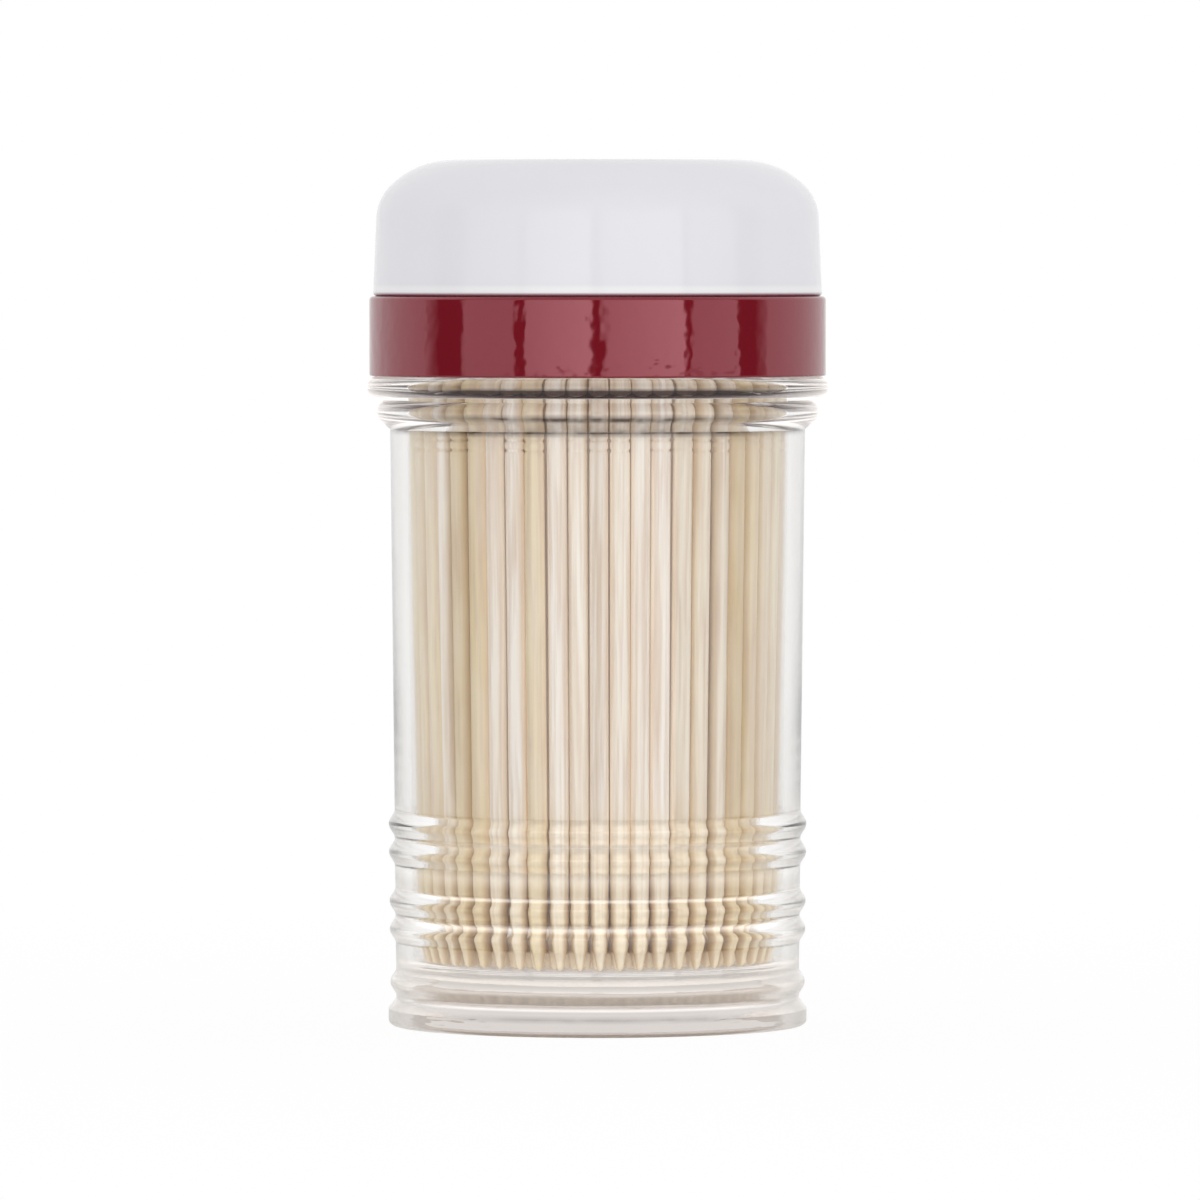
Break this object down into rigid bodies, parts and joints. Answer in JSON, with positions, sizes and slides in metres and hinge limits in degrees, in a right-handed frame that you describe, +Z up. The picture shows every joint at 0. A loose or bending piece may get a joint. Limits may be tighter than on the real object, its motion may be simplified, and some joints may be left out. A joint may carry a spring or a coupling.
{
  "type": "toothpick dispenser",
  "caption": "Round table jar of toothpicks: clear ribbed body, red push-on collar with a dispensing hole, white push-on overcap.",
  "frame": {"origin": "centre of the jar's foot, on the surface it stands on", "axes": "+Z up along the jar's axis; the mouldings are round about Z, so X and Y are free"},
  "size_m": [0.0534, 0.0534, 0.1],
  "materials": {
    "clear_jar": "clear, polished mould",
    "red_collar": "gloss, moulded in colour",
    "white_overcap": "gloss, moulded in colour",
    "birch": "turned, unvarnished"
  },
  "bodies": {
    "jar": {"jar": "clear_jar", "toothpick_01": "birch", "toothpick_02": "birch", "toothpick_03": "birch", "toothpick_04": "birch", "toothpick_05": "birch", "toothpick_06": "birch", "toothpick_07": "birch", "toothpick_08": "birch", "toothpick_09": "birch", "toothpick_10": "birch", "toothpick_11": "birch", "toothpick_12": "birch", "toothpick_13": "birch", "toothpick_14": "birch", "toothpick_15": "birch", "toothpick_16": "birch", "toothpick_17": "birch", "toothpick_18": "birch", "toothpick_19": "birch", "toothpick_20": "birch", "toothpick_21": "birch", "toothpick_22": "birch", "toothpick_23": "birch", "toothpick_24": "birch", "toothpick_25": "birch", "toothpick_26": "birch", "toothpick_27": "birch", "toothpick_28": "birch", "toothpick_29": "birch", "toothpick_30": "birch", "toothpick_31": "birch", "toothpick_32": "birch", "toothpick_33": "birch", "toothpick_34": "birch", "toothpick_35": "birch", "toothpick_36": "birch", "toothpick_37": "birch", "toothpick_38": "birch", "toothpick_39": "birch", "toothpick_40": "birch", "toothpick_41": "birch", "toothpick_42": "birch", "toothpick_43": "birch", "toothpick_44": "birch", "toothpick_45": "birch", "toothpick_46": "birch", "toothpick_47": "birch", "toothpick_48": "birch", "toothpick_49": "birch", "toothpick_50": "birch", "toothpick_51": "birch", "toothpick_52": "birch", "toothpick_53": "birch", "toothpick_54": "birch", "toothpicks_core": "birch", "toothpicks_second_ring": "birch"},
    "collar": {"dispensing_collar": "red_collar"},
    "overcap": {"overcap": "white_overcap"}
  },
  "joints": [
    {"name": "collar_lift", "type": "slide", "parent": "jar", "child": "collar", "axis": [0, 0, 1], "range_m": [0, 0.03]},
    {"name": "cap_lift", "type": "slide", "parent": "collar", "child": "overcap", "axis": [0, 0, 1], "range_m": [0, 0.075]}
  ]
}
